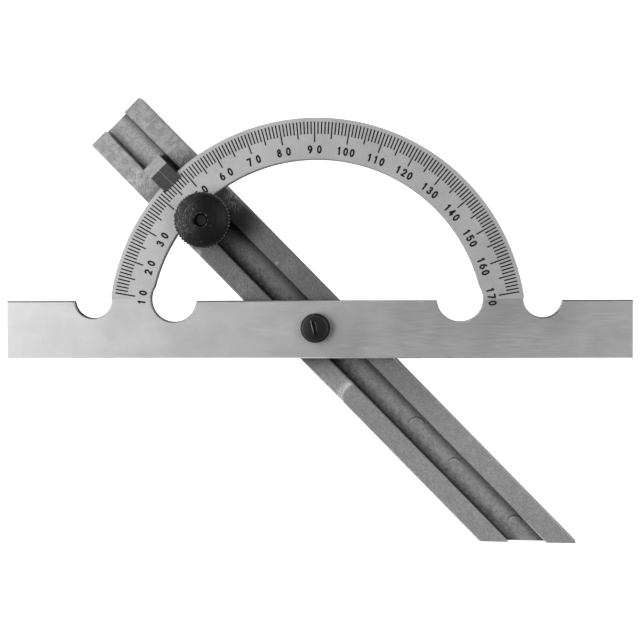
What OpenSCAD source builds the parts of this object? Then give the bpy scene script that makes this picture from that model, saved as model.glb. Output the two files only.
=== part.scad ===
// Workshop protractor: a flat bar with a half-round scale, and a grooved arm that swivels and slides
// under it. The arm is locked by a knurled nut and read at a bevelled index.
// Frame: pivot axis on Z, arm's underside at z = 0, bar along X, scale towards +Y. Millimetres.

/* [Bar and scale arc] */
// Length of the straight bar
bar_l = 120; // [112:1:140]
// Distance from the pivot to the bar's upper edge
bar_up = 5.2; // [4.6:0.1:5.6]
// Distance from the pivot to the bar's reference edge
bar_down = 5.8; // [4.5:0.1:8]
// Thickness of the sheet that the bar and the arc are cut from
sheet_t = 2.0; // [1.5:0.1:3]
// Outer radius of the arc
arc_ro = 40; // [39:0.5:44]
// Inner radius of the arc
arc_ri = 32; // [30:0.5:33]
// Radius of the notches outside the arc, which clear the index
notch_out_r = 3.6; // [3.4:0.1:4.5]
// Radius of the notches inside the arc, which clear the stud
notch_in_r = 4.35; // [4:0.05:5]
// Height of the notch centres above the bar's upper edge
notch_rise = 0.3; // [0:0.1:0.6]
// How far inside the arc's outer radius the outer notches begin
notch_out_in = 0.55; // [0.4:0.05:0.8]
// How far inside the arc's inner radius the inner notches end
notch_in_in = 0.25; // [0.1:0.05:0.4]

/* [Scale lines] */
// Lowest reading of the scale in degrees
scale_from = 10; // [10:10:40]
// Highest reading of the scale in degrees
scale_to = 170; // [140:10:170]
// Width of a line
line_w = 0.27; // [0.15:0.01:0.35]
// Gap between the arc's rim and the lines
line_rim = 0.94; // [0.5:0.02:1.5]
// Length of a one-degree line
line_1 = 2.2; // [1.5:0.1:2.6]
// Length of a five-degree line
line_5 = 3.05; // [2.6:0.05:3.4]
// Length of a ten-degree line
line_10 = 3.75; // [3.4:0.05:4]
// Height of the enamel above the sheet
line_proud = 0.03; // [0.01:0.01:0.04]

/* [Arm] */
// Reading at which the arm stands, in degrees
arm_reading = 45.7; // [40:0.1:60]
// Width of the arm
arm_w = 13; // [12:0.5:16]
// Thickness of the arm
arm_t = 5; // [4.5:0.1:7]
// Distance from the pivot to the square end
arm_up = 55.5; // [52:0.5:70]
// Distance from the pivot to the slanted end, on the middle line
arm_down = 57.5; // [40:0.5:70]
// Angle between the slanted end and the arm
arm_end_angle = 45; // [30:1:90]
// Chamfer along the arm's outer edges
arm_edge = 0.25; // [0.1:0.05:0.5]

/* [Dovetail groove] */
// Width of the groove at its narrowest
mouth_w = 5.0; // [4.8:0.1:6]
// Depth of the groove
groove_d = 2.4; // [2.2:0.1:3]
// Lean of the flanks from upright, in degrees
flank_lean = 30; // [20:1:35]
// Chamfer at the groove's mouth
mouth_edge = 0.2; // [0.1:0.05:0.3]

/* [Clearances] */
// Gap between the arm and the sheet
arm_gap = 0.05; // [0.03:0.01:0.1]
// Gap between the sliding blocks and the groove
slide_gap = 0.05; // [0.03:0.01:0.1]
// Radial gap of the pivot, the stud and the nut in their holes
pin_gap = 0.03; // [0.02:0.01:0.06]
// Gap under the washers and the head, which rest on the sheet
seat_gap = 0.01; // [0.01:0.01:0.02]

/* [Pivot] */
// Diameter of the pivot's shoulder
pivot_d = 4; // [3.6:0.1:4.4]
// Diameter of the pivot screw's thread
pivot_thread_d = 3; // [2.5:0.5:3]
// Diameter of the screw's head
head_d = 5.6; // [5.4:0.1:7]
// Height of the head's straight side
head_h = 1.4; // [1.2:0.1:2]
// Rise of the head's dome
head_dome = 0.25; // [0.1:0.05:0.5]
// Width of the screwdriver slot
slot_w = 0.8; // [0.6:0.1:1]
// Length of the slot at the top of the head
slot_l = 3.2; // [2.4:0.1:4]
// Depth of the slot
slot_deep = 0.75; // [0.5:0.05:1]
// Turn of the slot from the Y axis, in degrees
slot_turn = 12.8; // [0:0.2:90]
// Free height of the dished washer
dish_h = 0.38; // [0.3:0.02:0.5]
// Sheet thickness of the dished washer
dish_t = 0.2; // [0.1:0.02:0.25]
// How far the dished washer stays back under the head
dish_in = 0.1; // [0.05:0.05:0.4]
// Length of the pivot block
pivot_block_l = 9; // [7:0.5:10]

/* [Index block] */
// Height of the blocks' dovetail foot
foot_h = 1.3; // [1.0:0.1:1.5]
// Gap between the foot's upper part and the groove's mouth, each side
neck_gap = 0.35; // [0.2:0.05:0.6]
// Gap between the arc's rim and the post
post_gap = 0.15; // [0.1:0.05:0.5]
// Length of the post outside the rim
post_l = 4.3; // [3.5:0.1:6]
// Width of the post
post_w = 4.2; // [3.4:0.1:4.4]
// Sideways place of the post in the groove, towards the low readings
post_side = 0.25; // [0:0.05:0.3]
// Height of the post's flat top above the sheet
crest_h = 1.5; // [1:0.1:2.5]
// Length of the flat top
crest_l = 2.1; // [1.5:0.1:3]
// Reach of the bevelled lip over the rim
lip_l = 1.3; // [0.8:0.1:2]
// Gap between the lip and the sheet
lip_gap = 0.1; // [0.08:0.01:0.2]
// Thickness of the lip at its tip
lip_t = 0.12; // [0.1:0.02:0.3]
// Width of the index line
index_w = 0.14; // [0.1:0.02:0.3]
// Depth of the index line
index_deep = 0.06; // [0.04:0.01:0.1]

/* [Clamp] */
// Distance from the arc's inner edge to the stud's axis
stud_in = 2.3; // [2:0.1:2.6]
// Sideways place of the stud in the groove, towards the low readings
stud_side = 0.8; // [0:0.1:1]
// Diameter of the stud
stud_d = 2.5; // [2:0.5:2.5]
// Diameter of the stud's collar under the foot
collar_d = 3.6; // [3.2:0.1:4]
// Thickness of the collar
collar_h = 0.5; // [0.4:0.05:0.6]
// Length of the foot beyond the stud, towards the pivot
foot_tail = 3.1; // [2.5:0.1:5]
// Diameter of the clamp washer
washer_d = 9; // [8:0.5:10]
// Thickness of the clamp washer
washer_t = 0.6; // [0.5:0.1:1]
// Diameter of the nut over its knurl
nut_d = 10.7; // [9.5:0.1:12]
// Height of the knurled band
nut_h = 3.4; // [3:0.1:5]
// Rise of the nut's crowned top
crown_h = 0.9; // [0.5:0.1:1.5]
// Chamfer of the knurled band
nut_edge = 0.5; // [0.3:0.05:0.8]
// Number of teeth of the knurl
knurl_n = 50; // [40:2:60]
// Depth of the knurl
knurl_deep = 0.3; // [0.15:0.05:0.4]
// How far the teeth are cropped below a sharp crest
knurl_crop = 0.08; // [0.05:0.01:0.12]
// Diameter of the ring that is turned into the crown
ring_d = 5.6; // [4.5:0.1:6.5]
// Width of the turned ring
ring_w = 0.25; // [0.15:0.05:0.4]
// Depth of the turned ring below the crown
ring_deep = 0.12; // [0.05:0.01:0.2]
// Countersink of the nut's hole
nut_sink = 0.2; // [0.1:0.05:0.4]
// Distance from the nut's top down to the stud's end
stud_low = 1.2; // [0.5:0.1:2]
// Chamfer of the stud's end
stud_edge = 0.25; // [0.1:0.05:0.4]

/* [Hidden] */
// Overrun of a cut past the face that it opens
cut = 1;
// Flats that make up the crown's curve, from rim to middle
crown_steps = 6;
// Levels of the faces that the pieces share
sheet_z = arm_t + arm_gap;
top_z = sheet_z + sheet_t;
floor_z = arm_t - groove_d;
throat_z = arm_t - mouth_edge;
foot_z = floor_z + slide_gap;
foot_top = foot_z + foot_h;
neck_top = arm_t - slide_gap;
head_z = top_z + 2 * seat_gap + dish_h;
washer_z = top_z + seat_gap;
nut_z = washer_z + washer_t + seat_gap;
nut_top = nut_z + nut_h + crown_h;
crest_z = top_z + crest_h;
// Places along the arm, counted from the pivot towards the square end
stud_u = arc_ri - stud_in;
post_in = arc_ro + post_gap;
post_out = post_in + post_l;
tip_u = arc_ro - lip_l;
crest_u = post_out - crest_l;
// Places of the notches on the bar
notch_y = bar_up + notch_rise;
notch_out_x = arc_ro - notch_out_in + notch_out_r;
notch_in_x = arc_ri - notch_in_in - notch_in_r;
// Half the groove's width at a height, less a gap
function flank(z, gap = 0) = mouth_w / 2 + (throat_z - z) * tan(flank_lean) - gap / cos(flank_lean);
$fn = 96;

// Turns and lifts its children into the arm's direction: X runs along the arm to its square end
module along_arm() {
    rotate([0, 0, 180 - arm_reading]) children();
}

// Extrudes a cross-section, drawn as across and up, along the arm from u0 to u1
module bar_of(u0, u1) {
    translate([u0, 0, 0]) rotate([90, 0, 90]) linear_extrude(u1 - u0) children();
}

// Bar and half-round arc, cut from one sheet, with the four notches and the pivot's hole
module protractor_plate() {
    color([0.80, 0.80, 0.78])
    difference() {
        translate([0, 0, sheet_z]) linear_extrude(sheet_t) difference() {
            union() {
                translate([-bar_l / 2, -bar_down]) square([bar_l, bar_up + bar_down]);
                intersection() {
                    difference() {
                        circle(r = arc_ro, $fn = 180);
                        circle(r = arc_ri, $fn = 180);
                    }
                    translate([-arc_ro, 0]) square([2 * arc_ro, arc_ro]);
                }
            }
            for (side = [-1, 1]) {
                translate([side * notch_out_x, notch_y]) circle(r = notch_out_r);
                translate([side * notch_in_x, notch_y]) circle(r = notch_in_r);
            }
        }
        translate([0, 0, sheet_z - cut]) cylinder(d = pivot_d + 2 * pin_gap, h = sheet_t + 2 * cut);
    }
}

// Enamel of the scale: one line a degree, longer every fifth and tenth
module graduation_lines() {
    color([0.08, 0.08, 0.08])
    for (reading = [scale_from : scale_to]) {
        l = reading % 10 == 0 ? line_10 : (reading % 5 == 0 ? line_5 : line_1);
        rotate([0, 0, 180 - reading])
            translate([arc_ro - line_rim - l, -line_w / 2, top_z]) cube([l, line_w, line_proud]);
    }
}

// Cross-section of the arm with its dovetail groove
module arm_section() {
    w = arm_w / 2;
    e = arm_edge;
    half = [[w - e, 0], [w, e], [w, arm_t - e], [w - e, arm_t],
            [mouth_w / 2 + mouth_edge, arm_t], [mouth_w / 2, throat_z], [flank(floor_z), floor_z]];
    polygon(concat(half, [for (i = [len(half) - 1 : -1 : 0]) [-half[i][0], half[i][1]]]));
}

// Arm: the grooved section, square at one end and slanted at the other
module arm_rail() {
    slant = arm_w / 2 / tan(arm_end_angle);
    color([0.66, 0.66, 0.64])
    along_arm() intersection() {
        bar_of(-arm_down - slant, arm_up) arm_section();
        linear_extrude(arm_t) polygon([[arm_up, -arm_w / 2], [arm_up, arm_w / 2],
            [-arm_down + slant, arm_w / 2], [-arm_down - slant, -arm_w / 2]]);
    }
}

// Dovetail foot of a sliding block
module foot_section() {
    polygon([[-flank(foot_z, slide_gap), foot_z], [flank(foot_z, slide_gap), foot_z],
             [flank(foot_top, slide_gap), foot_top], [-flank(foot_top, slide_gap), foot_top]]);
}

// Block under the pivot, with a neck that reaches up to the sheet and the screw's tapped hole
module pivot_slide_block() {
    neck = mouth_w / 2 - neck_gap;
    color([0.55, 0.55, 0.54])
    difference() {
        along_arm() {
            bar_of(-pivot_block_l / 2, pivot_block_l / 2) foot_section();
            bar_of(-pivot_block_l / 2, pivot_block_l / 2)
                translate([-neck, foot_z]) square([2 * neck, neck_top - foot_z]);
        }
        translate([0, 0, floor_z]) cylinder(d = pivot_thread_d + 2 * pin_gap, h = arm_t, $fn = 48);
    }
}

// Shouldered pivot screw: domed head with a plunge-sawn slot, shoulder in the sheet, thread in the block
module pivot_screw() {
    head_r = head_d / 2;
    dome_r = (head_r * head_r + head_dome * head_dome) / (2 * head_dome);
    saw_r = (slot_l * slot_l / 4 + slot_deep * slot_deep) / (2 * slot_deep);
    head_top = head_z + head_h + head_dome;
    color([0.16, 0.16, 0.17])
    difference() {
        union() {
            intersection() {
                translate([0, 0, head_z]) cylinder(r = head_r, h = head_h + head_dome);
                translate([0, 0, head_top - dome_r]) sphere(r = dome_r, $fn = 180);
            }
            translate([0, 0, neck_top]) cylinder(d = pivot_d, h = head_z - neck_top, $fn = 64);
            translate([0, 0, foot_z + slide_gap])
                cylinder(d = pivot_thread_d, h = neck_top - foot_z - slide_gap, $fn = 48);
        }
        translate([0, 0, head_top - slot_deep + saw_r]) rotate([0, 0, slot_turn]) rotate([0, 90, 0])
            cylinder(r = saw_r, h = slot_w, center = true);
    }
}

// Dished washer under the head, which gives the swivel its drag
module pivot_spring_washer() {
    low = top_z + seat_gap;
    high = low + dish_h;
    inner = pivot_d / 2 + 2 * pin_gap;
    outer = head_d / 2 - dish_in;
    color([0.30, 0.30, 0.32])
    rotate_extrude($fn = 64)
        polygon([[inner, high - dish_t], [outer, low], [outer, low + dish_t], [inner, high]]);
}

// Block under the arc: dovetail foot, post outside the rim, and a bevelled lip with the index line
module index_slide_block() {
    bevel_rise = crest_z - (top_z + lip_gap + lip_t);
    bevel_run = crest_u - tip_u;
    bevel_angle = atan2(bevel_rise, bevel_run);
    color([0.58, 0.58, 0.57])
    difference() {
        along_arm() {
            bar_of(stud_u - foot_tail, post_out) foot_section();
            translate([0, post_side, 0]) rotate([90, 0, 0]) linear_extrude(post_w, center = true)
                polygon([[post_out, foot_z], [post_out, crest_z], [crest_u, crest_z],
                         [tip_u, top_z + lip_gap + lip_t], [tip_u, top_z + lip_gap],
                         [post_in, top_z + lip_gap], [post_in, foot_z]]);
        }
        along_arm() translate([crest_u, post_side, crest_z]) rotate([0, -bevel_angle, 0])
            translate([-bevel_run / cos(bevel_angle) - cut, -index_w / 2, -index_deep])
                cube([bevel_run / cos(bevel_angle) + cut, index_w, index_deep + cut]);
        along_arm() translate([stud_u, stud_side, 0]) {
            cylinder(d = stud_d + 2 * pin_gap, h = arm_t, $fn = 48);
            cylinder(d = collar_d + 2 * pin_gap, h = foot_z + collar_h + slide_gap, $fn = 48);
        }
    }
}

// Stud of the clamp, held by a collar that seats under the foot
module clamp_stud() {
    color([0.25, 0.25, 0.26])
    along_arm() translate([stud_u, stud_side, 0]) {
        translate([0, 0, foot_z + slide_gap]) cylinder(d = collar_d, h = collar_h, $fn = 48);
        translate([0, 0, foot_z + slide_gap])
            cylinder(d = stud_d, h = nut_top - stud_low - stud_edge - foot_z - slide_gap, $fn = 48);
        translate([0, 0, nut_top - stud_low - stud_edge])
            cylinder(d1 = stud_d, d2 = stud_d - 2 * stud_edge, h = stud_edge, $fn = 48);
    }
}

// Washer between the nut and the arc
module clamp_washer() {
    color([0.35, 0.35, 0.36])
    along_arm() translate([stud_u, stud_side, washer_z]) difference() {
        cylinder(d = washer_d, h = washer_t);
        translate([0, 0, -cut]) cylinder(d = stud_d + 2 * pin_gap, h = washer_t + 2 * cut, $fn = 48);
    }
}

// Star-shaped outline of the straight knurl
module knurl_outline() {
    polygon([for (i = [0 : 2 * knurl_n - 1])
        let (r = nut_d / 2 + (i % 2 == 0 ? knurl_crop : -knurl_deep), a = i * 180 / knurl_n)
        [r * cos(a), r * sin(a)]]);
}

// Knurled clamp nut with a crowned top, a turned ring and a countersunk hole
module knurled_nut() {
    edge_r = nut_d / 2 - nut_edge;
    band_top = nut_z + nut_h;
    crown_r = (edge_r * edge_r + crown_h * crown_h) / (2 * crown_h);
    hole_r = stud_d / 2 + pin_gap;
    crown = [for (i = [0 : crown_steps - 1])
        let (r = edge_r * (1 - i / crown_steps)) [r, nut_top - crown_r + sqrt(crown_r * crown_r - r * r)]];
    ring_r = ring_d / 2;
    ring_z = nut_top - crown_r + sqrt(crown_r * crown_r - ring_r * ring_r) - ring_deep;
    color([0.14, 0.14, 0.15])
    along_arm() translate([stud_u, stud_side, 0]) difference() {
        intersection() {
            rotate_extrude() polygon(concat([[0, nut_z], [edge_r, nut_z], [nut_d / 2, nut_z + nut_edge],
                [nut_d / 2, band_top - nut_edge]], crown, [[0, nut_top]]));
            translate([0, 0, nut_z - cut]) linear_extrude(nut_h + crown_h + 2 * cut) knurl_outline();
        }
        translate([0, 0, nut_z - cut]) cylinder(r = hole_r, h = nut_h + crown_h + 2 * cut, $fn = 48);
        translate([0, 0, nut_top - nut_sink])
            cylinder(r1 = hole_r, r2 = hole_r + 2 * nut_sink, h = 2 * nut_sink);
        translate([0, 0, ring_z]) rotate_extrude() translate([ring_r, 0]) square([ring_w, crown_h]);
    }
}

protractor_plate();
graduation_lines();
arm_rail();
pivot_slide_block();
pivot_screw();
pivot_spring_washer();
index_slide_block();
clamp_stud();
clamp_washer();
knurled_nut();
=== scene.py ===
"""Workshop protractor with a sliding arm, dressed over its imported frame."""
import math

import bpy
from mathutils import Matrix, Vector
from mathutils.geometry import delaunay_2d_cdt


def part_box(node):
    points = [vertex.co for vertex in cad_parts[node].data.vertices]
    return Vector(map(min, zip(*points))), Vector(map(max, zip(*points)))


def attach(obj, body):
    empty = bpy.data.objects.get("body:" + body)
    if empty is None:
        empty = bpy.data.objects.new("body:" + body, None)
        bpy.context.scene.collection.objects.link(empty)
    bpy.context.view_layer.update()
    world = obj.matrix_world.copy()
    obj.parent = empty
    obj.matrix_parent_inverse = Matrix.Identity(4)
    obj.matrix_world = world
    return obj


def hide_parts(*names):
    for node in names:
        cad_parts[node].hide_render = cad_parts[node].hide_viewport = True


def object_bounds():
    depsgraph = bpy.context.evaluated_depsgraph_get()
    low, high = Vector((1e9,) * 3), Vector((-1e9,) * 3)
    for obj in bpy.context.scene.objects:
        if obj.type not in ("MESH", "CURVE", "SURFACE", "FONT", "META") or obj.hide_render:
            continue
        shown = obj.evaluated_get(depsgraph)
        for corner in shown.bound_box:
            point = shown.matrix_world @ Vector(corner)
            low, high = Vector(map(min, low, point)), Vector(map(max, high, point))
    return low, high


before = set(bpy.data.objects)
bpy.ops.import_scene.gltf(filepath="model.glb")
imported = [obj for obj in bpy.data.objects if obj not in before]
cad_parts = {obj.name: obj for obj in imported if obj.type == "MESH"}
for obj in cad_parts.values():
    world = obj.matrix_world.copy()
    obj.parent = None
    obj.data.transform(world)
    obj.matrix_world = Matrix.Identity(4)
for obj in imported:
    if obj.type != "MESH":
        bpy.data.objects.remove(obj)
cad_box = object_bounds()
MM = 0.001

# View. The tool lies on a white sheet and is seen from nearly straight above, at arm's length,
# from a point a little to the right of the pivot.
plate_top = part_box("protractor_plate")[1].z
eye = Vector((0.0349, 0.0196, plate_top + 0.3806))
eye_tilt_x = 0.0473
eye_tilt_y = -0.0893
eye_roll = 0.0058
eye_lens = 112.87

camera_data = bpy.data.cameras.new("camera")
camera_data.lens = eye_lens
camera_data.sensor_width = 36
camera_data.clip_start = 0.01
camera = bpy.data.objects.new("camera", camera_data)
turn = (Matrix.Rotation(eye_roll, 3, "Z") @ Matrix.Rotation(eye_tilt_x, 3, "X")
        @ Matrix.Rotation(eye_tilt_y, 3, "Y"))
camera.matrix_world = Matrix.Translation(eye) @ turn.transposed().to_4x4()
bpy.context.scene.collection.objects.link(camera)
bpy.context.scene.camera = camera
bpy.context.scene.view_settings.view_transform = "Standard"


# Lamps. A soft light as large as a window stands on the left and lights the steel at a slant.
# A small and weaker one on the right softens its shadows.
def soft_light(name, place, width, height, power):
    data = bpy.data.lights.new(name, "AREA")
    data.shape = "RECTANGLE"
    data.size = width
    data.size_y = height
    data.energy = power
    lamp = bpy.data.objects.new(name, data)
    lamp.location = place
    lamp.rotation_euler = (-Vector(place)).to_track_quat("-Z", "Y").to_euler()
    bpy.context.scene.collection.objects.link(lamp)


soft_light("window", (-0.50, 0.06, 0.48), 0.80, 0.50, 5.5)
soft_light("desk_lamp", (0.42, 0.10, 0.54), 0.30, 0.30, 1.6)

# Room. Its ceiling is dim, so that the steel mirrors little from above. Its walls are paler
# and give the tool's sides some light.
wall_height = 0.2
ceiling_height = 0.5
wall_grey = 0.35
ceiling_grey = 0.12


def add(tree, kind, inputs=None, **settings):
    """A node of the tree, with its settings and its inputs set or linked."""
    made = tree.nodes.new(kind)
    for name, value in settings.items():
        setattr(made, name, value)
    for name, value in (inputs or {}).items():
        if isinstance(value, bpy.types.NodeSocket):
            tree.links.new(value, made.inputs[name])
        else:
            made.inputs[name].default_value = value
    return made


world = bpy.data.worlds.new("room")
world.use_nodes = True
bpy.context.scene.world = world
tree = world.node_tree
toward = add(tree, "ShaderNodeTexCoord")
height = add(tree, "ShaderNodeSeparateXYZ", {0: toward.outputs["Generated"]})
room_light = add(tree, "ShaderNodeMapRange", {"Value": height.outputs["Z"], "From Min": wall_height,
                 "From Max": ceiling_height, "To Min": wall_grey, "To Max": ceiling_grey})
tree.links.new(room_light.outputs[0], tree.nodes["Background"].inputs["Color"])

# Floor. A white sheet under the tool. It glows to the eye and in reflections, so that it burns out
# to plain white away from the tool and keeps a faint shadow near it.
floor_half = 6.0
floor_drop = 0.02 * MM
glow_near = 0.15
glow_far = 0.5
near_glow = 0.82
far_glow = 1.0


def material(name, **values):
    """A material whose shader has the given plain values; gives its tree and shader too."""
    made = bpy.data.materials.new(name)
    made.use_nodes = True
    shader = made.node_tree.nodes["Principled BSDF"]
    for socket, value in values.items():
        shader.inputs[socket.replace("_", " ")].default_value = value
    return made, made.node_tree, shader


paper, tree, shader = material("paper", Base_Color=(0.8, 0.8, 0.8, 1), Roughness=0.9)
path = add(tree, "ShaderNodeLightPath")
seen = add(tree, "ShaderNodeMath", {0: path.outputs["Is Camera Ray"], 1: path.outputs["Is Glossy Ray"]},
           operation="MAXIMUM")
seen = add(tree, "ShaderNodeMath", {0: seen.outputs[0], 1: path.outputs["Is Transmission Ray"]},
           operation="MAXIMUM")
place = add(tree, "ShaderNodeTexCoord")
far = add(tree, "ShaderNodeVectorMath", {0: place.outputs["Object"]}, operation="LENGTH")
glow_level = add(tree, "ShaderNodeMapRange", {"Value": far.outputs["Value"], "From Min": glow_near,
                 "From Max": glow_far, "To Min": near_glow, "To Max": far_glow})
white_glow = add(tree, "ShaderNodeEmission", {"Color": glow_level.outputs[0]})
glow = add(tree, "ShaderNodeAddShader", {0: shader.outputs[0], 1: white_glow.outputs[0]})
lit = add(tree, "ShaderNodeMixShader", {0: seen.outputs[0], 1: shader.outputs[0], 2: glow.outputs[0]})
tree.links.new(lit.outputs[0], tree.nodes["Material Output"].inputs["Surface"])
mesh = bpy.data.meshes.new("floor")
mesh.from_pydata([(-floor_half, -floor_half, 0), (floor_half, -floor_half, 0),
                  (floor_half, floor_half, 0), (-floor_half, floor_half, 0)], [], [(0, 1, 2, 3)])
mesh.materials.append(paper)
floor = bpy.data.objects.new("floor", mesh)
floor.location.z = cad_box[0].z - floor_drop
bpy.context.scene.collection.objects.link(floor)


# Brushing. Every steel face is drawn over abrasive cloth, which leaves fine lines in one direction.
# The group gives the lines as a value round 0.5, at a set direction, length and pitch.
def effect_group(name, inputs, outputs):
    """An empty node group with its sockets; gives the group, its input node and its output node."""
    group = bpy.data.node_groups.new(name, "ShaderNodeTree")
    for way, sockets in (("INPUT", inputs), ("OUTPUT", outputs)):
        for socket in sockets:
            group.interface.new_socket(socket, in_out=way, socket_type="NodeSocketFloat")
    given = add(group, "NodeGroupInput") if inputs else None
    return group, given, add(group, "NodeGroupOutput")


brushing, given, result = effect_group("brushed_lines", ("Direction", "Line Length", "Line Pitch"),
                                       ("Lines",))
place = add(brushing, "ShaderNodeTexCoord")
turned = add(brushing, "ShaderNodeVectorRotate", {"Vector": place.outputs["Object"],
             "Angle": given.outputs["Direction"]}, rotation_type="Z_AXIS")
along = add(brushing, "ShaderNodeMath", {0: 1.0, 1: given.outputs["Line Length"]}, operation="DIVIDE")
across = add(brushing, "ShaderNodeMath", {0: 1.0, 1: given.outputs["Line Pitch"]}, operation="DIVIDE")
grid = add(brushing, "ShaderNodeCombineXYZ", {"X": along.outputs[0], "Y": across.outputs[0],
           "Z": across.outputs[0]})
spread = add(brushing, "ShaderNodeVectorMath", {0: turned.outputs[0], 1: grid.outputs[0]},
             operation="MULTIPLY")
lines = add(brushing, "ShaderNodeTexNoise", {"Vector": spread.outputs[0], "Scale": 1.0, "Detail": 3.0,
            "Roughness": 0.6})
brushing.links.new(lines.outputs["Fac"], result.inputs["Lines"])

# Clouding. Oil and handling leave soft darker and lighter clouds on bare steel.
# The group gives them as a value round 0.5, at a set size.
clouding, given, result = effect_group("steel_clouds", ("Cloud Size", "Cloud Detail"), ("Clouds",))
place = add(clouding, "ShaderNodeTexCoord")
fine = add(clouding, "ShaderNodeMath", {0: 1.0, 1: given.outputs["Cloud Size"]}, operation="DIVIDE")
spots = add(clouding, "ShaderNodeTexNoise", {"Vector": place.outputs["Object"],
            "Scale": fine.outputs[0], "Detail": given.outputs["Cloud Detail"], "Roughness": 0.55})
clouding.links.new(spots.outputs["Fac"], result.inputs["Clouds"])

# Edges. A cut or sawn wall is duller than the ground face above it and carries painted shade, and a broken
# edge carries a painted highlight.
# The group gives two masks from the tilt of the surface, for the walls and for the broken edges.
edging, _, result = effect_group("worn_edges", (), ("Wall", "Broken Edge"))
place = add(edging, "ShaderNodeTexCoord")
tilt = add(edging, "ShaderNodeSeparateXYZ", {0: place.outputs["Normal"]})
level = add(edging, "ShaderNodeMath", {0: tilt.outputs["Z"]}, operation="ABSOLUTE")
wall = add(edging, "ShaderNodeMapRange", {"Value": level.outputs[0], "From Min": 0.4, "From Max": 0.15})
under = add(edging, "ShaderNodeMapRange", {"Value": level.outputs[0], "From Min": 0.3, "From Max": 0.5})
over = add(edging, "ShaderNodeMapRange", {"Value": level.outputs[0], "From Min": 0.97, "From Max": 0.88})
broken = add(edging, "ShaderNodeMath", {0: under.outputs[0], 1: over.outputs[0]}, operation="MULTIPLY")
edging.links.new(wall.outputs[0], result.inputs["Wall"])
edging.links.new(broken.outputs[0], result.inputs["Broken Edge"])

# Scale plate. One 2 mm steel sheet: straight bar, half-round arc and four notches, cut and deburred,
# brushed along the bar, then engraved. Its engraving is filled with black enamel.
plate_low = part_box("protractor_plate")[0].z
bar_half = 60.0
bar_up = 5.2
bar_down = 5.8
arc_ro = 40.0
arc_ri = 32.0
notch_y = 5.5
notch_out_x = 43.05
notch_out_r = 3.6
notch_in_x = 27.4
notch_in_r = 4.35
pivot_hole_r = 2.03
notch_steps = 40
rim_steps = 180
deburr = 0.2
corner_ease = 0.25
engraved = 0.06
enamel_low = 0.015

scale_lines = range(10, 171)
line_w = 0.27
line_out = 39.25
line_length = {0: 3.94, 5: 3.24}  # by the reading's last digit
line_short = 2.39
digit_r = 33.95
digit_h = 1.27
digit_w = 0.6
stroke_w = 0.35
digit_step = {2: 3.0, 3: 2.1}  # in degrees, by the count of digits

# Zones of the face: the matt arc above the bar, a darker band along the bar and a darker spot below and right
# of the pivot, and painted shade on the upper edges of the bar's ends. A band is given as its start, full,
# fade and end.
matt_above_bar = 0.1
matt_fully = 0.5
dim_band_x = (4, 22, 44, 58)
dim_band_y = (-5, 3)
dim_spot_place = (5.5 * MM, -3 * MM, plate_top)
dim_spot_r = (8, 2)
end_edge_shade_x = (36, 44)


def number(tree, operation, first, second=0.0):
    """One step of arithmetic on values or masks."""
    return add(tree, "ShaderNodeMath", {0: first, 1: second}, operation=operation).outputs[0]


def times(tree, mask, *others):
    """Masks multiplied, so that 1 is left only where all are 1."""
    for other in others:
        mask = number(tree, "MULTIPLY", mask, other)
    return mask


def opposite(tree, mask):
    return number(tree, "SUBTRACT", 1.0, mask)


def ramp(tree, value, start, end):
    """0 at start and 1 at end, with soft ends."""
    return add(tree, "ShaderNodeMapRange", {"Value": value, "From Min": start, "From Max": end},
               interpolation_type="SMOOTHSTEP").outputs[0]


def ramp_mm(tree, value, start, end):
    """A ramp over a length whose ends are given in millimetres."""
    return ramp(tree, value, start * MM, end * MM)


def band(tree, value, start, full, fade, end):
    """1 from full to fade and 0 before start and after end, all in millimetres."""
    return times(tree, ramp_mm(tree, value, start, full), ramp_mm(tree, value, end, fade))


def effect(tree, group, **values):
    """A group of this file, placed in a material with its own values."""
    placed = add(tree, "ShaderNodeGroup", node_tree=group)
    for socket, value in values.items():
        placed.inputs[socket.replace("_", " ")].default_value = value
    return placed


def scaled(tree, colour, share, *masks):
    """The colour, scaled to the given share where all the masks are 1."""
    part = add(tree, "ShaderNodeMapRange", {"Value": times(tree, *masks), "To Min": 1.0, "To Max": share})
    return add(tree, "ShaderNodeVectorMath", {0: colour, "Scale": part.outputs[0]},
               operation="SCALE").outputs[0]


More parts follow.
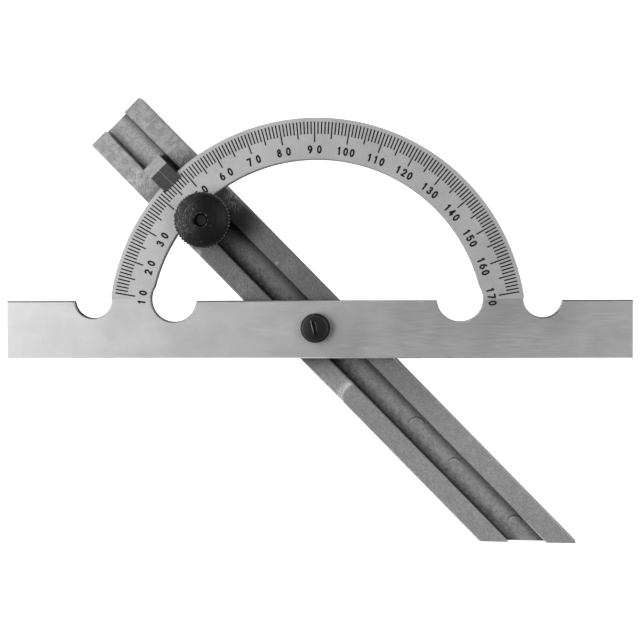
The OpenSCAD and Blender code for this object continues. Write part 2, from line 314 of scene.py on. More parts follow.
def steel(name, dark, light, rough, direction, length, pitch, cloud, line_bump, lines_share=0.5,
          wall=0.4, edge_highlight=1.4, grain=0.8, grain_size=0.16 * MM, wall_shine=0.1):
    """Bare steel between two greys: brushed lines, clouds and grain, dull walls with painted shade, and edges
    with a painted highlight.
    """
    made, tree, shader = material(name, Specular_IOR_Level=0.0)
    lines = effect(tree, brushing, Direction=direction, Line_Length=length, Line_Pitch=pitch)
    clouds = effect(tree, clouding, Cloud_Size=cloud, Cloud_Detail=4.0)
    both = add(tree, "ShaderNodeMix", {0: 1 - lines_share, 2: lines.outputs[0], 3: clouds.outputs[0]},
               data_type="FLOAT")
    shade = add(tree, "ShaderNodeMapRange", {"Value": both.outputs[0], "From Min": 0.3, "From Max": 0.7})
    tint = add(tree, "ShaderNodeMix", {0: shade.outputs[0], 6: (*dark, 1), 7: (*light, 1)},
               data_type="RGBA")
    pits = effect(tree, clouding, Cloud_Size=grain_size, Cloud_Detail=2.0)
    edges = effect(tree, edging)
    colour = scaled(tree, tint.outputs[2], grain, ramp(tree, pits.outputs[0], 0.3, 0.7))
    # Walls get painted shade, and broken edges a painted highlight.
    colour = scaled(tree, colour, wall, edges.outputs["Wall"])
    colour = scaled(tree, colour, edge_highlight, edges.outputs["Broken Edge"])
    tree.links.new(colour, shader.inputs["Base Color"])
    shine = add(tree, "ShaderNodeMapRange", {"Value": edges.outputs["Wall"], "To Min": 1.0,
                "To Max": wall_shine})
    tree.links.new(shine.outputs[0], shader.inputs["Metallic"])
    sheen = add(tree, "ShaderNodeMapRange", {"Value": lines.outputs[0], "From Min": 0.2, "From Max": 0.8,
                "To Min": rough - 0.05, "To Max": rough + 0.05})
    tree.links.new(sheen.outputs[0], shader.inputs["Roughness"])
    bump = add(tree, "ShaderNodeBump", {"Strength": line_bump, "Distance": 0.02 * MM,
               "Height": lines.outputs[0]})
    tree.links.new(bump.outputs[0], shader.inputs["Normal"])
    return made, tree, shader, colour


def arc_points(cx, cy, r, start, end, count):
    """Points of an arc from start to end in degrees, both ends included."""
    return [(cx + r * math.cos(math.radians(start + (end - start) * i / count)),
             cy + r * math.sin(math.radians(start + (end - start) * i / count))) for i in range(count + 1)]


def meet(r, cx, cy, notch_r):
    """Upper point where the circle of radius r round the pivot meets a notch's circle."""
    d = math.hypot(cx, cy)
    a = (r * r - notch_r * notch_r + d * d) / (2 * d)
    h = math.sqrt(r * r - a * a)
    return (a * cx - h * cy) / d, (a * cy + h * cx) / d


def mirrored(points):
    return [(-x, y) for x, y in reversed(points)]


def eased(points, way):
    """A notch whose first corner, on the bar's edge, is filed round; way is the bar's side of it."""
    x, y = points[0]
    before, after = (x + way * corner_ease, y), points[1]
    curve = []
    for i in range(6):
        t = i / 6
        curve.append(tuple((1 - t) ** 2 * b + 2 * t * (1 - t) * c + t * t * a
                           for b, c, a in zip(before, (x, y), after)))
    return curve + points[1:]


def outer_outline(inset):
    """Outline of the sheet, drawn in by inset."""
    r = notch_out_r + inset
    up = bar_up - inset
    top = arc_ro - inset
    x, y = meet(top, notch_out_x, notch_y, r)
    start = math.degrees(math.asin((up - notch_y) / r))
    end = math.degrees(math.atan2(y - notch_y, x - notch_out_x)) - 360
    notch = arc_points(notch_out_x, notch_y, r, start, end, notch_steps)
    rise = math.degrees(math.atan2(y, x))
    side = [(bar_half - inset, -bar_down + inset), (bar_half - inset, up)] + eased(notch, 1)
    crown = arc_points(0, 0, top, rise, 180 - rise, rim_steps)
    return side + crown[1:-1] + mirrored(side)


def window_outline(inset):
    """Outline of the window between bar and arc, widened by inset."""
    r = notch_in_r + inset
    up = bar_up - inset
    inner = arc_ri + inset
    x, y = meet(inner, notch_in_x, notch_y, r)
    start = -180 - math.degrees(math.asin((up - notch_y) / r))
    end = math.degrees(math.atan2(y - notch_y, x - notch_in_x))
    notch = eased(arc_points(notch_in_x, notch_y, r, start, end, notch_steps), -1)
    rise = math.degrees(math.atan2(y, x))
    crown = arc_points(0, 0, inner, rise, 180 - rise, rim_steps)
    return notch + crown[1:-1] + mirrored(notch)


def hole_outline(inset):
    return arc_points(0, 0, pivot_hole_r + inset, 0, 360, 48)[:-1]


# Digits are single strokes, as an engraving machine cuts them, in a box 1 wide and 1 high.
def oval(cx, cy, rx, ry, start=0, end=360, step=20):
    count = math.ceil(abs(end - start) / step)
    turns = [math.radians(start + (end - start) * i / count) for i in range(count + 1)]
    return [(cx + rx * math.cos(a), cy + ry * math.sin(a)) for a in turns]


six = [oval(0, 0.3, 0.5, 0.3), oval(0.42, 0.3, 0.92, 0.72, 180, 108)]
digits = {
    "0": [oval(0, 0.5, 0.5, 0.5)],
    "1": [[(-0.3, 0.8), (0.05, 1), (0.05, 0)]],
    "2": [oval(0, 0.7, 0.48, 0.3, 165, -30) + [(-0.5, 0), (0.5, 0)]],
    "3": [oval(0, 0.76, 0.42, 0.24, 160, -90) + oval(0, 0.26, 0.5, 0.26, 90, -160)],
    "4": [[(0.5, 0.28), (-0.5, 0.28), (0.22, 1), (0.22, 0)]],
    "5": [[(0.44, 1), (-0.36, 1), (-0.42, 0.56)] + oval(-0.02, 0.32, 0.5, 0.32, 130, -155)],
    "6": six,
    "7": [[(-0.5, 1), (0.5, 1), (-0.12, 0)]],
    "8": [oval(0, 0.76, 0.38, 0.24), oval(0, 0.26, 0.5, 0.26)],
    "9": [[(-x, 1 - y) for x, y in stroke] for stroke in six],
}


def stroke_faces(points, width):
    """A stroke as convex outlines: one rectangle a segment and one round at each corner."""
    half = width / 2
    faces = [arc_points(x, y, half, 0, 360, 10)[:-1] for x, y in points]
    for (x0, y0), (x1, y1) in zip(points, points[1:]):
        length = math.hypot(x1 - x0, y1 - y0)
        if length < 1e-6:
            continue
        nx, ny = -(y1 - y0) / length * half, (x1 - x0) / length * half
        faces.append([(x0 + nx, y0 + ny), (x0 - nx, y0 - ny), (x1 - nx, y1 - ny), (x1 + nx, y1 + ny)])
    return faces


def line_face(reading):
    """Outline of one line of the scale, square to its radius."""
    a = math.radians(180 - reading)
    ux, uy = math.cos(a), math.sin(a)
    inner = line_out - line_length.get(reading % 10, line_short)
    w = line_w / 2
    return [(r * ux - s * uy, r * uy + s * ux)
            for r, s in ((inner, -w), (line_out, -w), (line_out, w), (inner, w))]


def number_faces(reading):
    """Outlines of a reading's digits, each upright on its own radius."""
    faces = []
    text = str(reading)
    for i, digit in enumerate(text):
        shift = (i - (len(text) - 1) / 2) * digit_step[len(text)]
        b = math.radians(180 - reading - shift)
        up = (math.cos(b), math.sin(b))
        right = (up[1], -up[0])
        for stroke in digits[digit]:
            points = []
            for x, y in stroke:
                px, py = x * digit_w, (y - 0.5) * digit_h + digit_r
                points.append((px * right[0] + py * up[0], px * right[1] + py * up[1]))
            faces += stroke_faces(points, stroke_w)
    return faces


def mark_faces():
    """Outlines of all engraved lines and digits on the sheet's face."""
    faces = []
    for reading in scale_lines:
        faces.append(line_face(reading))
        if reading % 10 == 0:
            faces += number_faces(reading)
    return faces


def piece(name, verts, faces, finish, body, stands_for, smooth=30):
    """A closed mesh, given in millimetres, that rides on a body and stands for a CAD node."""
    mesh = bpy.data.meshes.new(name)
    mesh.from_pydata([(x * MM, y * MM, z * MM) for x, y, z in verts], [], faces)
    mesh.validate()
    mesh.materials.append(finish)
    for polygon in mesh.polygons:
        polygon.use_smooth = True
    mesh.set_sharp_from_angle(angle=math.radians(smooth))
    made = bpy.data.objects.new(name, mesh)
    bpy.context.scene.collection.objects.link(made)
    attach(made, body)
    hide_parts(stands_for)
    return made


def engraved_sheet():
    """Sheet and enamel from one planar mesh, so that the enamel fills the engraving exactly."""
    z0 = plate_low / MM
    z1 = plate_top / MM
    rims = [outer_outline, window_outline, hole_outline]
    flat = []
    loops = []
    for outline in [rim(deburr) for rim in rims] + mark_faces():
        loops.append(list(range(len(flat), len(flat) + len(outline))))
        flat += [Vector(p) for p in outline]
    points, _, triangles, origin, _, sources = delaunay_2d_cdt(flat, [], loops, 1, 1e-5)
    slot = {old: new for new, olds in enumerate(origin) for old in olds}

    # Face, with the floors of the cuts below it and the cuts' walls between.
    verts = [(p.x, p.y, z1) for p in points]
    low = len(verts)
    verts += [(p.x, p.y, z1 - engraved) for p in points]
    land = []
    cut = []
    for triangle, source in zip(triangles, sources):
        if 0 in source and 1 not in source and 2 not in source:
            (cut if any(s > 2 for s in source) else land).append(tuple(triangle))
    edges = {(a, b) for t in cut for a, b in zip(t, t[1:] + t[:1])}
    banks = [(a, b) for a, b in edges if (b, a) not in edges]
    faces = land + [tuple(v + low for v in t) for t in cut]
    faces += [(b, a, a + low, b + low) for a, b in banks]

    # Walls of the sheet's rims, deburred above and below.
    for index, rim in enumerate(rims):
        ring = [slot[i] for i in loops[index]]
        rows = [ring]
        for inset, z in ((0, z1 - deburr), (0, z0 + deburr), (deburr, z0)):
            rows.append(list(range(len(verts), len(verts) + len(ring))))
            verts += [(x, y, z) for x, y in rim(inset)]
        turn = 1 if rim is outer_outline else -1
        for upper, lower in zip(rows, rows[1:]):
            for i in range(len(ring)):
                j = (i + turn) % len(ring)
                faces.append((upper[i], lower[i], lower[j], upper[j]))
        loops[index] = rows[-1]

    # Underside.
    flat = []
    under = []
    names = []
    for row in loops[:3]:
        under.append(list(range(len(flat), len(flat) + len(row))))
        flat += [Vector(verts[i][:2]) for i in row]
        names += row
    _, _, triangles, origin, _, sources = delaunay_2d_cdt(flat, [], under, 1, 1e-5)
    for triangle, source in zip(triangles, sources):
        if source == [0]:
            faces.append(tuple(names[origin[i][0]] for i in reversed(triangle)))

    # Enamel, down to the floors of the cuts.
    fill_top = z1 - enamel_low
    used = sorted({v for t in cut for v in t})
    place = {v: i for i, v in enumerate(used)}
    n = len(used)
    fill_verts = [(points[v].x, points[v].y, z) for z in (fill_top, z1 - engraved) for v in used]
    fill_faces = [tuple(place[v] for v in t) for t in cut]
    fill_faces += [tuple(place[v] + n for v in reversed(t)) for t in cut]
    fill_faces += [(place[a], place[a] + n, place[b] + n, place[b]) for a, b in banks]
    return verts, faces, fill_verts, fill_faces


plate_steel, tree, shader, colour = steel("plate_steel", (0.60, 0.60, 0.60), (0.72, 0.72, 0.72), 0.42,
                                          direction=0.0, length=4 * MM, pitch=0.13 * MM, cloud=6 * MM,
                                          line_bump=0.12, lines_share=0.25, wall=0.16, edge_highlight=1.0,
                                          grain=0.93)
place = add(tree, "ShaderNodeTexCoord")
parts = add(tree, "ShaderNodeSeparateXYZ", {0: place.outputs["Object"]})
facing = add(tree, "ShaderNodeSeparateXYZ", {0: place.outputs["Normal"]})
matt = ramp_mm(tree, parts.outputs["Y"], bar_up + matt_above_bar, bar_up + matt_fully)
on_bar = opposite(tree, matt)
peppered = effect(tree, clouding, Cloud_Size=0.2 * MM, Cloud_Detail=3.0)
from_dim_spot = add(tree, "ShaderNodeVectorMath", {0: place.outputs["Object"], 1: dim_spot_place},
                 operation="DISTANCE")
from_middle = number(tree, "ABSOLUTE", parts.outputs["X"])
colour = scaled(tree, colour, 0.81, matt)
# Darker in a band along the bar right of the pivot, and round a spot below and right of it.
colour = scaled(tree, colour, 0.84, band(tree, parts.outputs["X"], *dim_band_x),
                ramp_mm(tree, parts.outputs["Y"], *dim_band_y), on_bar)
colour = scaled(tree, colour, 0.9, matt, ramp(tree, peppered.outputs[0], 0.35, 0.65))
colour = scaled(tree, colour, 0.86, ramp_mm(tree, from_dim_spot.outputs["Value"], *dim_spot_r))
# Painted shade on the upper edges of the bar's ends.
colour = scaled(tree, colour, 0.3, ramp_mm(tree, from_middle, *end_edge_shade_x),
                ramp(tree, facing.outputs["Y"], 0.3, 0.5), on_bar)
tree.links.new(colour, shader.inputs["Base Color"])
brushed = shader.inputs["Roughness"].links[0].from_socket
tree.links.new(number(tree, "ADD", brushed, times(tree, matt, 0.12)), shader.inputs["Roughness"])

enamel, tree, shader = material("scale_enamel", Roughness=0.6, Specular_IOR_Level=0.2)
clouds = effect(tree, clouding, Cloud_Size=0.8 * MM, Cloud_Detail=3.0)
tint = add(tree, "ShaderNodeMix", {0: clouds.outputs[0], 6: (0.002, 0.002, 0.002, 1),
           7: (0.014, 0.014, 0.014, 1)}, data_type="RGBA")
tree.links.new(tint.outputs[2], shader.inputs["Base Color"])

verts, faces, fill_verts, fill_faces = engraved_sheet()
scale_plate = piece("scale_plate", verts, faces, plate_steel, "plate", "protractor_plate")
scale_fill = piece("scale_fill", fill_verts, fill_faces, enamel, "plate", "graduation_lines")

# Arm. A 13 x 5 mm steel bar with a milled dovetail groove, ground on its faces. It is darker where it slides
# under the scale, and carries painted shade in the groove's corners, painted shadows beside the clamp nut and
# the index post, scuffs and round tool marks.
# Places on it are given in millimetres along it from the pivot and across it.
arm_angle = math.radians(180 - 45.7)
arm_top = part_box("arm_rail")[1].z / MM
mouth_half = 2.5
groove_down = (0.4, 1.2)
groove_across = (6.2, 5.2)
dark_along = (34, 27)
dark_ends = -25 * MM
dark_slant = 2.25
dark_below_bar = -1 * MM
dark_share = 0.5
clamp_shadow_place = (26.3, -4.0)
clamp_shadow_r = (8.0, 2.8)
post_shadow_along = (39.5, 40.5, 44.2, 45.2)
post_shadow_across = (-0.8, -1.5)
rim_shade_along = (35, 37, 40, 44.5)
right_side = (-1, -3)
left_side = (1, 3)
bar_shade_y = (-(bar_down + 2.4), -bar_down, -4, -2)
pale_end_along = (-14, -45)
outer_edge_across = (-5.8, -6.2)
outer_edge_along = (-22, -38)
blotch_along = (26, 34)
corner_wander = 1.8
left_corner = (0.1, mouth_half)
left_corner_along = (33, 26)
right_corner = (-0.7, -mouth_half)
corner_line = (mouth_half - 0.45, mouth_half - 0.15)
mouth_edge = (3.6, 3.2)
# Marks, spots and nicks have a place and a radius; scratches a place along, a slope and a side.
tool_marks = [((-26.9, -0.2), 1.7), ((-37.3, -0.2), 1.3), ((-53.4, -0.6), 1.5)]
burr_inside = 0.36
crescent_place = (-15.2, 4.0)
crescent_r = 2.8
rubbed_along = (-14.5, -11, -9, -4)
rubbed_across = (2.6, 3.4)
rubbed_spots = [((28.0, -4.9), 3.2), ((15.5, 4.6), 2.6), ((12.0, -4.4), 2.2), ((5.8, 4.6), 2.0),
                ((40.5, -4.6), 4.5), ((44.0, 4.6), 4.0)]
graze_place = (28.3, -5.8)
graze_r = (2.6, 1.2)
nicks = [((26.3, 6.3), 0.9), ((14.2, -3.2), 0.4)]
scratch_lines = [(20.2, 0.23, 1), (19.6, 0.23, 1), (51.0, -0.1, -1)]
scratch_land = (2.8, 3.1)

# Arm's own directions: along it from the pivot, across it, and up, in metres.
arm_frame, _, result = effect_group("along_the_arm", (), ("Along", "Across", "Up"))
place = add(arm_frame, "ShaderNodeTexCoord")
turned = add(arm_frame, "ShaderNodeVectorRotate", {"Vector": place.outputs["Object"],
             "Angle": -arm_angle}, rotation_type="Z_AXIS")
parts = add(arm_frame, "ShaderNodeSeparateXYZ", {0: turned.outputs[0]})
for source, socket in (("X", "Along"), ("Y", "Across"), ("Z", "Up")):
    arm_frame.links.new(parts.outputs[source], result.inputs[socket])


def away_from(tree, along, across, spot):
    """Distance on the arm's face from a spot given in millimetres along and across."""
    a = number(tree, "SUBTRACT", along, spot[0] * MM)
    b = number(tree, "SUBTRACT", across, spot[1] * MM)
    return number(tree, "SQRT", number(tree, "ADD", number(tree, "MULTIPLY", a, a),
                                       number(tree, "MULTIPLY", b, b)))


def line_at(tree, value, place, fade, full):
    """A line at a place: 1 within full of it and 0 beyond fade, all in millimetres."""
    off = number(tree, "ABSOLUTE", number(tree, "SUBTRACT", value, place * MM))
    return ramp_mm(tree, off, fade, full)


arm_steel, tree, shader, colour = steel("arm_steel", (0.41, 0.41, 0.41), (0.50, 0.50, 0.50), 0.45,
                                        direction=-arm_angle, length=0.5 * MM, pitch=0.16 * MM,
                                        cloud=1.6 * MM, line_bump=0.35, wall=0.65, edge_highlight=1.0,
                                        grain=0.74, grain_size=0.3 * MM, wall_shine=0.4)
frame_here = effect(tree, arm_frame)
along, across, up = (frame_here.outputs[n] for n in ("Along", "Across", "Up"))
place = add(tree, "ShaderNodeTexCoord")
from_bar = add(tree, "ShaderNodeSeparateXYZ", {0: place.outputs["Object"]}).outputs["Y"]
off_middle = number(tree, "ABSOLUTE", across)
facing_along = add(tree, "ShaderNodeVectorMath", {0: place.outputs["Normal"],
                   1: (math.cos(arm_angle), math.sin(arm_angle), 0)}, operation="DOT_PRODUCT")
end_face = number(tree, "ABSOLUTE", facing_along.outputs["Value"])
deep = times(tree, ramp_mm(tree, up, arm_top - groove_down[0], arm_top - groove_down[1]),
             ramp_mm(tree, off_middle, *groove_across), ramp(tree, end_face, 0.5, 0.3))
land = opposite(tree, deep)

# The part that slides under the scale is darker. Painted shadow and shade darken it further beside the clamp
# nut, by the index post, under the arc's rim and below the bar.
slanted_end = number(tree, "ADD", number(tree, "MULTIPLY", across, dark_slant), dark_ends)
darker_stretch = times(tree, ramp_mm(tree, along, *dark_along), ramp(tree, along, slanted_end, dark_below_bar))
colour = scaled(tree, colour, dark_share, darker_stretch)
# Painted shadow of the clamp nut on the arm.
from_clamp = away_from(tree, along, across, clamp_shadow_place)
colour = scaled(tree, colour, 0.38, ramp_mm(tree, from_clamp, *clamp_shadow_r))
edges = effect(tree, edging)
# Painted shade on the walls in the darker stretch, which also shine less.
dark_stretch_wall = times(tree, edges.outputs["Wall"], darker_stretch)
colour = scaled(tree, colour, 0.85, dark_stretch_wall)
shine = shader.inputs["Metallic"].links[0].from_socket
shine = times(tree, shine, opposite(tree, times(tree, dark_stretch_wall, 0.45)))
tree.links.new(shine, shader.inputs["Metallic"])
# Painted shadow of the index post in the groove beside it.
colour = scaled(tree, colour, 0.25, band(tree, along, *post_shadow_along),
                ramp_mm(tree, across, *post_shadow_across), deep)
# Painted shade where the lands pass under the arc's rim.
rim_shade = times(tree, band(tree, along, *rim_shade_along), land)
colour = scaled(tree, colour, 0.45, rim_shade, ramp_mm(tree, across, *right_side))
colour = scaled(tree, colour, 0.72, rim_shade, ramp_mm(tree, across, *left_side))
# Painted shade on the left land at and below the bar's lower edge.
colour = scaled(tree, colour, 0.7, band(tree, from_bar, *bar_shade_y),
                ramp_mm(tree, across, *left_side), land)
colour = scaled(tree, colour, 1.25, ramp_mm(tree, along, *pale_end_along))
colour = scaled(tree, colour, 0.7, edges.outputs["Broken Edge"],
                ramp_mm(tree, across, *outer_edge_across), ramp_mm(tree, along, *outer_edge_along))
handled = effect(tree, clouding, Cloud_Size=1.7 * MM, Cloud_Detail=6.0)
colour = scaled(tree, colour, 0.8, ramp(tree, handled.outputs[0], 0.44, 0.58),
                ramp_mm(tree, along, *blotch_along), land)

# Groove: painted shade in both corners and a dark line along both walls, with ragged edges; a mottled floor,
# and the marks of the end mill.
ragged = effect(tree, clouding, Cloud_Size=0.7 * MM, Cloud_Detail=5.0)
wander = number(tree, "MULTIPLY", number(tree, "SUBTRACT", ragged.outputs[0], 0.5), corner_wander * MM)
shifted = number(tree, "ADD", across, wander)
colour = scaled(tree, colour, 0.5, ramp_mm(tree, shifted, *left_corner), deep,
                ramp_mm(tree, along, *left_corner_along))
colour = scaled(tree, colour, 0.5, ramp_mm(tree, off_middle, *corner_line), deep)
colour = scaled(tree, colour, 0.42, ramp_mm(tree, shifted, *right_corner), deep)
colour = scaled(tree, colour, 0.84, ramp(tree, ragged.outputs[0], 0.42, 0.6), deep)
for spot, mark_r in tool_marks:
    reach = away_from(tree, along, across, spot)
    spot_y = spot[0] * math.sin(arm_angle) + spot[1] * math.cos(arm_angle)
    upper = times(tree, ramp_mm(tree, from_bar, spot_y + 0.2, spot_y + 0.9), deep)
    colour = scaled(tree, colour, 0.45, line_at(tree, reach, mark_r, 0.17, 0.05), upper)
    colour = scaled(tree, colour, 1.2, line_at(tree, reach, mark_r - burr_inside, 0.2, 0.08), upper)

# Both edges of the groove's mouth are broken; the left one carries a painted highlight and the right one
# painted shade.
mouth = times(tree, edges.outputs["Broken Edge"], ramp_mm(tree, off_middle, *mouth_edge))
colour = scaled(tree, colour, 1.7, mouth, ramp_mm(tree, across, -1, 1))
colour = scaled(tree, colour, 0.85, mouth, ramp_mm(tree, across, 1, -1))

# A pale crescent below the bar. Scuffs: rubbed lands, nicks, and scratches across the arm.
scratches = effect(tree, brushing, Direction=-arm_angle + 0.6, Line_Length=1.4 * MM, Line_Pitch=0.1 * MM)
sharp = ramp(tree, scratches.outputs[0], 0.5, 0.6)
reach = away_from(tree, along, across, crescent_place)
crescent = band(tree, reach, crescent_r - 0.1, crescent_r + 0.1, crescent_r + 0.3, crescent_r + 1.8)
colour = scaled(tree, colour, 1.75, crescent,
                ramp_mm(tree, along, crescent_place[0], crescent_place[0] + 1.6), land)
rubbed = times(tree, band(tree, along, *rubbed_along), ramp_mm(tree, across, *rubbed_across))
for spot, radius in rubbed_spots:
    near = ramp_mm(tree, away_from(tree, along, across, spot), radius, 0.3 * radius)
    rubbed = number(tree, "MAXIMUM", rubbed, near)
colour = scaled(tree, colour, 1.7, rubbed, land, sharp)
grazed = ramp_mm(tree, away_from(tree, along, across, graze_place), *graze_r)
colour = scaled(tree, colour, 3.0, grazed, land, sharp)
for spot, radius in nicks:
    near = ramp_mm(tree, away_from(tree, along, across, spot), radius, 0.6 * radius)
    colour = scaled(tree, colour, 1.8, near)
for place_along, slope, side in scratch_lines:
    slanted = number(tree, "ADD", along, number(tree, "MULTIPLY", across, slope))
    on_land = ramp_mm(tree, number(tree, "MULTIPLY", across, side), *scratch_land)
    colour = scaled(tree, colour, 1.3, line_at(tree, slanted, place_along, 0.14, 0.04), on_land)
tree.links.new(colour, shader.inputs["Base Color"])


def finish_node(name, finish, round_edges=None):
    """Gives a CAD node its material and, where asked, a small round on its sharp edges."""
    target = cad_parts[name]
    for given_slot in target.material_slots:
        given_slot.material = finish
    if round_edges:
        soft = target.modifiers.new("deburred", "BEVEL")
        soft.width = round_edges
        soft.segments = 2
        soft.limit_method = "ANGLE"
        soft.angle_limit = math.radians(40)
        soft.harden_normals = False


finish_node("arm_rail", arm_steel, 0.06 * MM)

# Sliding blocks. Milled steel dovetail blocks in the arm's groove: one under the pivot, and one under the
# arc, whose post carries the bevelled index. Its bevel carries painted shade, with a bright line down its
# middle, and the blocks' parts deep in the groove carry painted shade too.
crest_place = 42.35
index_side = 0.25
index_half = 0.11
block_steel, tree, shader, colour = steel("block_steel", (0.40, 0.40, 0.40), (0.60, 0.60, 0.60), 0.42,
                                          direction=-arm_angle + math.pi / 2, length=1.2 * MM,
                                          pitch=0.14 * MM, cloud=0.7 * MM, line_bump=0.5, lines_share=0.6,
                                          wall=0.12, edge_highlight=1.3)
frame_here = effect(tree, arm_frame)
along, across, up = (frame_here.outputs[n] for n in ("Along", "Across", "Up"))
bevel = times(tree, ramp_mm(tree, along, crest_place + 0.05, crest_place - 0.05),
              ramp_mm(tree, up, plate_top / MM, plate_top / MM + 0.15))
# Painted shade on the bevel, which faces away from the light.
colour = scaled(tree, colour, 0.4, bevel)
line = line_at(tree, across, index_side, index_half + 0.05, index_half - 0.05)
colour = scaled(tree, colour, 2.2, line, bevel)
# Painted shade on the parts deep in the groove.
colour = scaled(tree, colour, 0.12, ramp_mm(tree, up, arm_top - 0.4, arm_top - 0.9))
tree.links.new(colour, shader.inputs["Base Color"])
finish_node("pivot_slide_block", block_steel)
finish_node("index_slide_block", block_steel, 0.07 * MM)

# Screw, stud and washers. Steel parts turned and blackened in hot oxide, with an oily sheen; the screw's slot
# is sawn. A ring on its dome, a line along one edge of the slot and a stripe inside the slot are painted
# highlights. The dished washer under the screw is tempered spring steel.
slot_turn = math.radians(12.8)
slot_half = 0.4
slot_l = 3.2
slot_deep = 0.75
screw_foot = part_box("pivot_screw")[0].z / MM
thread_r = 1.5
thread_tip = 0.2
shoulder_low = 4.95
shoulder_r = 2.0
shoulder_tip = 0.1
head_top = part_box("pivot_screw")[1].z / MM
head_r = 2.8
head_side = 1.4
head_under = 0.12
head_dome = 0.25
head_round = 0.45
rim_drop = 0.6
screw_columns = 96
ring_place = 2.3
slot_edge_off = 0.06
stripe_place = 0.25
sooty_from = 2.45
sooty_full = 2.65


def black_oxide(name, rough, shine):
    """Blackened steel; gives its tree and shader too, and the colour before its worn spots and painted
    highlights.
    """
    made, tree, shader = material(name, Roughness=rough, Specular_IOR_Level=shine)
    clouds = effect(tree, clouding, Cloud_Size=0.6 * MM, Cloud_Detail=5.0)
    tint = add(tree, "ShaderNodeMix", {0: clouds.outputs[0], 6: (0.001, 0.001, 0.001, 1),
               7: (0.013, 0.013, 0.013, 1)}, data_type="RGBA")
    tree.links.new(tint.outputs[2], shader.inputs["Base Color"])
    bump = add(tree, "ShaderNodeBump", {"Strength": 0.25, "Distance": 0.04 * MM, "Height": clouds.outputs[0]})
    tree.links.new(bump.outputs[0], shader.inputs["Normal"])
    return made, tree, shader, tint.outputs[2]


def bared(tree, shader, colour, highlights_and_wear, grey):
    """The given grey where the mask is 1: bare steel where worn, and a painted highlight where the mask
    stands for light.
    """
    both = add(tree, "ShaderNodeMix", {0: highlights_and_wear, 6: colour, 7: (grey, grey, grey, 1)}, data_type="RGBA")
    tree.links.new(both.outputs[2], shader.inputs["Base Color"])


def round_axis(tree, x, y):
    """Sideways offset and distance, in metres, from an upright axis at x, y in millimetres."""
    place = add(tree, "ShaderNodeTexCoord")
    moved = add(tree, "ShaderNodeVectorMath", {0: place.outputs["Object"], 1: (x * MM, y * MM, 0)},
                operation="SUBTRACT")
    flat = add(tree, "ShaderNodeVectorMath", {0: moved.outputs[0], 1: (1, 1, 0)}, operation="MULTIPLY")
    far = add(tree, "ShaderNodeVectorMath", {0: flat.outputs[0]}, operation="LENGTH")
    return flat.outputs[0], far.outputs["Value"]


def turned_solid(rows, columns):
    """A solid turned round the pivot's axis from rows of radius and height; both ends lie on the axis."""
    verts = [(0, 0, rows[0][1])]
    for r, z in rows[1:-1]:
        verts += [(r * math.cos(2 * math.pi * i / columns), r * math.sin(2 * math.pi * i / columns), z)
                  for i in range(columns)]
    verts.append((0, 0, rows[-1][1]))
    last = len(verts) - 1
    faces = []
    for i in range(columns):
        j = (i + 1) % columns
        faces.append((0, 1 + j, 1 + i))
        for row in range(len(rows) - 3):
            low = 1 + row * columns
            faces.append((low + i, low + j, low + columns + j, low + columns + i))
        faces.append((last - columns + i, last - columns + j, last))
    return verts, faces


def sawn(solid, cutter):
    """The first solid without the room that the second takes up."""
    blanks = []
    for verts, faces in (solid, cutter):
        mesh = bpy.data.meshes.new("blank")
        mesh.from_pydata(verts, [], faces)
        blanks.append(bpy.data.objects.new("blank", mesh))
        bpy.context.scene.collection.objects.link(blanks[-1])
    saw = blanks[0].modifiers.new("saw", "BOOLEAN")
    saw.operation = "DIFFERENCE"
    saw.solver = "EXACT"
    saw.object = blanks[1]
    cut = blanks[0].evaluated_get(bpy.context.evaluated_depsgraph_get())
    mesh = cut.to_mesh()
    verts = [tuple(v.co) for v in mesh.vertices]
    faces = [tuple(p.vertices) for p in mesh.polygons]
    cut.to_mesh_clear()
    for blank in blanks:
        bpy.data.meshes.remove(blank.data)
    return verts, faces


def screw_mesh():
    """Thread, shoulder and domed head with a rounded rim, and the slot that a round saw leaves."""
    head_low = head_top - head_dome - head_side
    rows = [(0, screw_foot), (thread_r - thread_tip, screw_foot), (thread_r, screw_foot + thread_tip),
            (thread_r, shoulder_low), (shoulder_r - shoulder_tip, shoulder_low),
            (shoulder_r, shoulder_low + shoulder_tip), (shoulder_r, head_low),
            (head_r - head_under, head_low), (head_r, head_low + head_under)]
    dome_r = (head_r * head_r + head_dome * head_dome) / (2 * head_dome)
    inner = head_r - head_round
    dome_edge = head_top - dome_r + math.sqrt(dome_r * dome_r - inner * inner)
    for i in range(9):
        a = math.pi / 2 * i / 8
        rows.append((inner + head_round * math.cos(a), dome_edge - rim_drop + rim_drop * math.sin(a)))
    for i in range(1, 12):
        r = inner * (1 - i / 12)
        rows.append((r, head_top - dome_r + math.sqrt(dome_r * dome_r - r * r)))
    rows.append((0, head_top))
    saw_r = (slot_l * slot_l / 4 + slot_deep * slot_deep) / (2 * slot_deep)
    centre = head_top - slot_deep + saw_r
    n = screw_columns
    disc = []
    for side in (-slot_half, slot_half):
        for i in range(n):
            a = 2 * math.pi * i / n
            y = saw_r * math.cos(a)
            disc.append((side * math.cos(slot_turn) - y * math.sin(slot_turn),
                         side * math.sin(slot_turn) + y * math.cos(slot_turn), centre + saw_r * math.sin(a)))
    disc_faces = [tuple(reversed(range(n))), tuple(range(n, 2 * n))]
    disc_faces += [(i, (i + 1) % n, n + (i + 1) % n, n + i) for i in range(n)]
    return sawn(turned_solid(rows, n), (disc, disc_faces))


oxide, *_ = black_oxide("black_oxide", 0.38, 0.3)
screw_oxide, tree, shader, colour = black_oxide("screw_oxide", 0.38, 0.35)
place = add(tree, "ShaderNodeTexCoord")
turned = add(tree, "ShaderNodeVectorRotate", {"Vector": place.outputs["Object"], "Angle": -slot_turn},
             rotation_type="Z_AXIS")
parts = add(tree, "ShaderNodeSeparateXYZ", {0: turned.outputs[0]})
side, lengthwise, height = (parts.outputs[n] for n in "XYZ")
_, radius = round_axis(tree, 0, 0)
